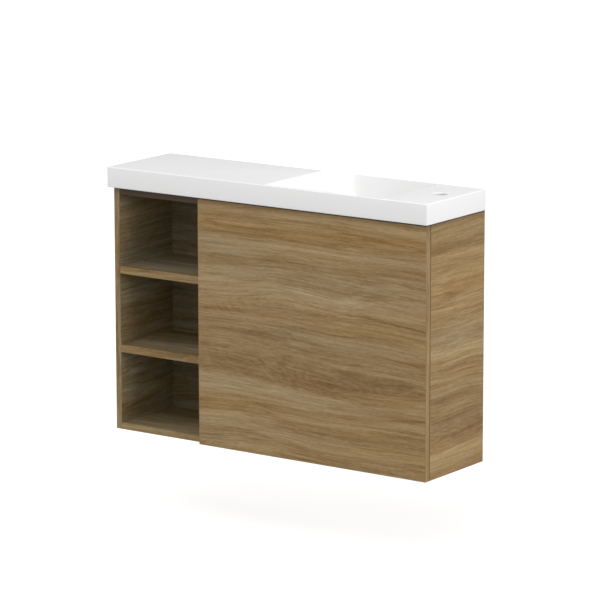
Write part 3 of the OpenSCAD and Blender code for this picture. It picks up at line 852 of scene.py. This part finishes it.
def inBowl(g):
    # 1 within the bowl's outline
    x = g.math("ABSOLUTE", g.math("SUBTRACT", g.part(g.coords, "X"), basin["bowlLen"] / 2))
    y = g.math("ABSOLUTE", g.math("SUBTRACT", g.part(g.coords, "Y"), basin["middle"]))
    return g.math("MULTIPLY", g.math("LESS_THAN", x, basin["bowlLen"] / 2 + basin["rimRound"]),
                  g.math("LESS_THAN", y, basin["halfWidth"] + basin["rimRound"]))


def topEdge(g):
    # 1 on the rounding along the top, where the face looks neither up nor sideways
    x, y, z = (g.math("ABSOLUTE", g.part(g.normal, axis)) for axis in ("X", "Y", "Z"))
    tilt = g.math("SUBTRACT", 1.0, g.math("MAXIMUM", x, g.math("MAXIMUM", y, z)))
    high = g.math("GREATER_THAN", g.part(g.coords, "Z"), basin["high"][2] - castLook["edgeDepth"])
    return g.math("MULTIPLY", g.fade(tilt, castLook["edgeStops"], 0, 1), high)


def onDeck(g):
    # 1 on the flat top to the right of the bowl
    right = g.math("GREATER_THAN", g.part(g.coords, "X"), basin["bowlLen"])
    return g.math("MULTIPLY", right, g.math("GREATER_THAN", g.part(g.normal, "Z"), castLook["deckFacing"]))


def paintedBowlLightAndShade(g):
    # painted light all over the bowl, except on the back wall, which gets painted shade, darker to the right
    x = g.part(g.coords, "X")
    frontwards = g.math("MULTIPLY", g.part(g.normal, "Y"), -1.0)
    paintedLit = g.math("MAXIMUM", g.fade(frontwards, castLook["backWallStops"], 1, 0),
                      g.math("LESS_THAN", x, castLook["backWallFrom"]))
    along = g.fade(x, (castLook["backWallFrom"], basin["bowlLen"]), 0, 1)
    backWall = g.mix(along, castLook["paintedShadeBackLeft"], castLook["paintedShadeBackRight"])
    return g.mix(paintedLit, backWall, castLook["paintedLightWhite"])


def castFinish():
    g = Graph("whiteCast")
    g.gloss(castLook["gloss"])
    cloud = g.grain(castLook["cloud"])
    low = g.math("LESS_THAN", g.part(g.coords, "Z"), basin["high"][2] - castLook["bowlFrom"])
    bowl = g.math("MULTIPLY", low, inBowl(g))
    # painted highlights on the rounded top edges, outside the bowl
    edge = g.math("MULTIPLY", topEdge(g), g.math("SUBTRACT", 1.0, bowl))
    bare = g.math("LESS_THAN", g.part(g.normal, "Z"), castLook["coreFacing"])
    base = g.mix(cloud, castLook["whiteLow"], castLook["white"])
    # painted light on the deck
    base = g.mix(onDeck(g), base, castLook["paintedDeckLight"])
    # painted highlights along the top edges
    base = g.mix(edge, base, castLook["paintedLightWhite"])
    # painted light in the bowl, and painted shade on its back wall
    base = g.mix(bowl, base, paintedBowlLightAndShade(g))
    g.colour(g.mix(bare, base, castLook["core"]))
    g.roughness(cloud, *castLook["roughness"])
    g.bump(g.grain(castLook["speck"]), *castLook["bump"])
    return g.mat


castBasin.data.materials.clear()
castBasin.data.materials.append(castFinish())
print("finish on the basin")


# light, floor and camera
studio = {
    "worldLevel": 0.61,
    "seenLevel": 1.0,                        # the background as the camera sees it
    "sunAngle": 40.0,
    # each sun's azimuth from the front towards the right, its elevation and its strength
    "suns": (
        (-60, 10, 0.88),
        (15, 38, 0.46),
        (15, 62, 0.39),
        (50, 10, 0.09),
        (90, 10, 1.80),
    ),
    "floorHeight": -0.75,
    "floorSize": 60.0,
    "floorTone": 0.55,                       # what the floor throws back up at the object
    "floorRoughness": 0.9,
    "floorGlow": 0.64,                       # what the camera sees on top of it
}


def softSun(name, azimuth, elevation, strength):
    az = math.radians(azimuth)
    el = math.radians(elevation)
    light = bpy.data.lights.new(name, "SUN")
    light.energy = strength
    light.angle = math.radians(studio["sunAngle"])
    obj = bpy.data.objects.new(name, light)
    bpy.context.collection.objects.link(obj)
    towards = Vector((math.sin(az) * math.cos(el), -math.cos(az) * math.cos(el), math.sin(el)))
    obj.rotation_euler = (-towards).to_track_quat("-Z", "Y").to_euler()


for number, values in enumerate(studio["suns"], 1):
    softSun("softSun%d" % number, *values)


def seenRays(tree):
    # 1 for what the camera sees itself, in gloss or through glass
    ray = tree.nodes.new("ShaderNodeLightPath")
    most = ray.outputs["Is Camera Ray"]
    for name in ("Is Glossy Ray", "Is Transmission Ray"):
        n = tree.nodes.new("ShaderNodeMath")
        n.operation = "MAXIMUM"
        tree.links.new(most, n.inputs[0])
        tree.links.new(ray.outputs[name], n.inputs[1])
        most = n.outputs[0]
    return most


def paleWorld():
    world = bpy.data.worlds.new("paleStudio")
    bpy.context.scene.world = world
    world.use_nodes = True
    tree = world.node_tree
    tree.nodes.clear()
    levels = []
    for strength in (studio["worldLevel"], studio["seenLevel"]):
        n = tree.nodes.new("ShaderNodeBackground")
        n.inputs["Color"].default_value = (1, 1, 1, 1)
        n.inputs["Strength"].default_value = strength
        levels.append(n.outputs[0])
    pick = tree.nodes.new("ShaderNodeMixShader")
    tree.links.new(seenRays(tree), pick.inputs["Fac"])
    tree.links.new(levels[0], pick.inputs[1])
    tree.links.new(levels[1], pick.inputs[2])
    tree.links.new(pick.outputs[0], tree.nodes.new("ShaderNodeOutputWorld").inputs["Surface"])


def floorFinish():
    # a dull surface that also glows, but only for what the camera sees
    mat = bpy.data.materials.new("paleFloor")
    mat.use_nodes = True
    tree = mat.node_tree
    shader = tree.nodes["Principled BSDF"]
    shader.inputs["Base Color"].default_value = (studio["floorTone"],) * 3 + (1,)
    shader.inputs["Roughness"].default_value = studio["floorRoughness"]
    shader.inputs["Specular IOR Level"].default_value = 0.0
    pick = tree.nodes.new("ShaderNodeMixShader")
    tree.links.new(seenRays(tree), pick.inputs["Fac"])
    for socket, strength in ((1, 0.0), (2, studio["floorGlow"])):
        glow = tree.nodes.new("ShaderNodeEmission")
        glow.inputs["Strength"].default_value = strength
        tree.links.new(glow.outputs[0], pick.inputs[socket])
    both = tree.nodes.new("ShaderNodeAddShader")
    tree.links.new(shader.outputs[0], both.inputs[0])
    tree.links.new(pick.outputs[0], both.inputs[1])
    tree.links.new(both.outputs[0], tree.nodes["Material Output"].inputs["Surface"])
    return mat


def paleFloor():
    deselectAll()
    bpy.ops.mesh.primitive_plane_add(size=studio["floorSize"], location=(0, 0, studio["floorHeight"]))
    obj = bpy.context.object
    obj.name = obj.data.name = "studioFloor"
    bpy.ops.object.transform_apply(location=True)
    obj.data.materials.append(floorFinish())


paleWorld()
paleFloor()

cameraFit = {
    "place": (4.8629, -6.9803, 1.5143),
    "azimuth": 35.24,
    "elevation": 11.512,
    "roll": -0.086,
    "lens": 216.576,
    "sensor": 36,
}


def addCamera():
    az, el, roll = (math.radians(cameraFit[k]) for k in ("azimuth", "elevation", "roll"))
    forward = Vector((-math.sin(az) * math.cos(el), math.cos(az) * math.cos(el), -math.sin(el)))
    right = Vector((math.cos(az), math.sin(az), 0))
    up = right.cross(forward)
    rolledRight = right * math.cos(roll) + up * math.sin(roll)
    rolledUp = -right * math.sin(roll) + up * math.cos(roll)
    cam = bpy.data.cameras.new("photoCamera")
    cam.sensor_width = cameraFit["sensor"]
    cam.lens = cameraFit["lens"]
    obj = bpy.data.objects.new("photoCamera", cam)
    bpy.context.collection.objects.link(obj)
    turn = Matrix((rolledRight, rolledUp, -forward)).transposed()
    obj.matrix_world = Matrix.Translation(Vector(cameraFit["place"])) @ turn.to_4x4()
    bpy.context.scene.camera = obj


addCamera()
bpy.context.scene.view_settings.view_transform = "Standard"
print("light and camera set")
